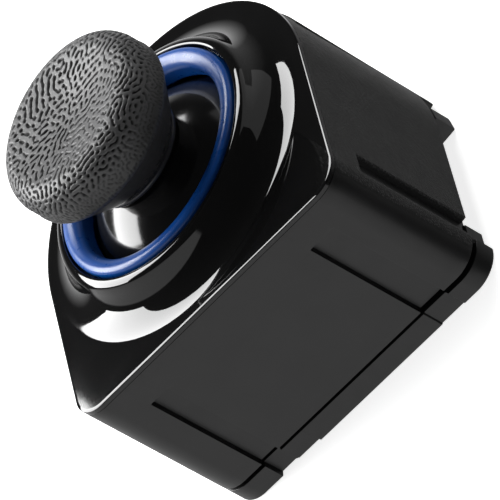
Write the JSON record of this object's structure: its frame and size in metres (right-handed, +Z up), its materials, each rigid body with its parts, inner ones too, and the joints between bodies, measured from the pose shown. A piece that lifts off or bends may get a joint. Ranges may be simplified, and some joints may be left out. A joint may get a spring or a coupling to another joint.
{
  "type": "thumbstick module",
  "caption": "Plug-in analog thumbstick module for a hand controller, with a grained rubber cap, a blue accent ring and a U-shaped case",
  "frame": {"origin": "on the stick's upright axis, at the plane of the base's underside", "axes": "+Z up along the stick at rest, -Y out of the flat front wall, +X to the right along that wall"},
  "size_m": [0.035, 0.0356, 0.0338],
  "materials": {
    "housing_plastic": "fine spark-eroded texture",
    "rear_plastic": "satin",
    "base_plastic": "satin",
    "gloss_face": "mirror polish",
    "blue_ring": "satin gloss",
    "board_laminate": "solder mask",
    "connector_plastic": "matte",
    "frame_steel": "rolled",
    "gimbal_plastic": "matte",
    "spring_steel": "drawn wire",
    "sensor_plastic": "matte",
    "switch_plastic": "matte",
    "plunger_plastic": "matte",
    "arm_plastic": "satin",
    "rotor_plastic": "satin",
    "shaft_steel": "ground",
    "gloss_dome": "high gloss",
    "core_plastic": "matte",
    "cap_rubber": "leather-like grain",
    "screw_steel": "black zinc",
    "contact_brass": "gold plated"
  },
  "bodies": {
    "case": {"housing_shell": "housing_plastic", "rear_cover": "rear_plastic", "faceplate": "gloss_face", "accent_ring": "blue_ring", "base_cover": "base_plastic", "base_screw_1": "screw_steel", "base_screw_2": "screw_steel", "base_screw_3": "screw_steel", "base_screw_4": "screw_steel", "circuit_board": "board_laminate", "board_screw_1": "screw_steel", "board_screw_2": "screw_steel", "board_screw_3": "screw_steel", "board_screw_4": "screw_steel", "connector_block": "connector_plastic", "contact_pin_1": "contact_brass", "contact_pin_2": "contact_brass", "contact_pin_3": "contact_brass", "contact_pin_4": "contact_brass", "contact_pin_5": "contact_brass", "contact_pin_6": "contact_brass", "gimbal_frame": "frame_steel", "gimbal_base": "gimbal_plastic", "return_spring": "spring_steel", "spring_plate": "gimbal_plastic", "pot_x_housing": "sensor_plastic", "pot_y_housing": "sensor_plastic", "switch_body": "switch_plastic", "switch_dome": "spring_steel"},
    "rocker": {"lower_arm": "arm_plastic", "rotor_x": "rotor_plastic"},
    "hub": {"stick_hub": "gimbal_plastic"},
    "stick": {"stick_shaft": "shaft_steel", "dome_skirt": "gloss_dome", "cap_core": "core_plastic", "thumb_cap": "cap_rubber"},
    "arch": {"upper_arm": "arm_plastic", "rotor_y": "rotor_plastic"},
    "click": {"switch_plunger": "plunger_plastic"}
  },
  "joints": [
    {"name": "stick_tilt_x", "type": "hinge", "parent": "case", "child": "rocker", "pos_m": [0, 0, 0.0132], "axis": [1, 0, 0], "range_deg": [-11, 11], "stiffness_Nm_per_rad": 0.02},
    {"name": "stick_tilt_y", "type": "hinge", "parent": "rocker", "child": "hub", "pos_m": [0, 0, 0.0132], "axis": [0, 1, 0], "range_deg": [-11, 11], "stiffness_Nm_per_rad": 0.02},
    {"name": "stick_press", "type": "slide", "parent": "hub", "child": "stick", "axis": [0, 0, -1], "range_m": [0, 0.00035], "stiffness_N_per_m": 4000},
    {"name": "arch_turn", "type": "hinge", "parent": "case", "child": "arch", "pos_m": [0, 0, 0.0132], "axis": [0, 1, 0], "range_deg": [-11.5, 11.5]},
    {"name": "click_travel", "type": "slide", "parent": "case", "child": "click", "axis": [0, 0, -1], "range_m": [0, 0.0004]}
  ],
  "couplings": [
    {"joint": "arch_turn", "follows": "stick_tilt_y", "ratio": 1},
    {"joint": "click_travel", "follows": "stick_press", "ratio": 1}
  ]
}
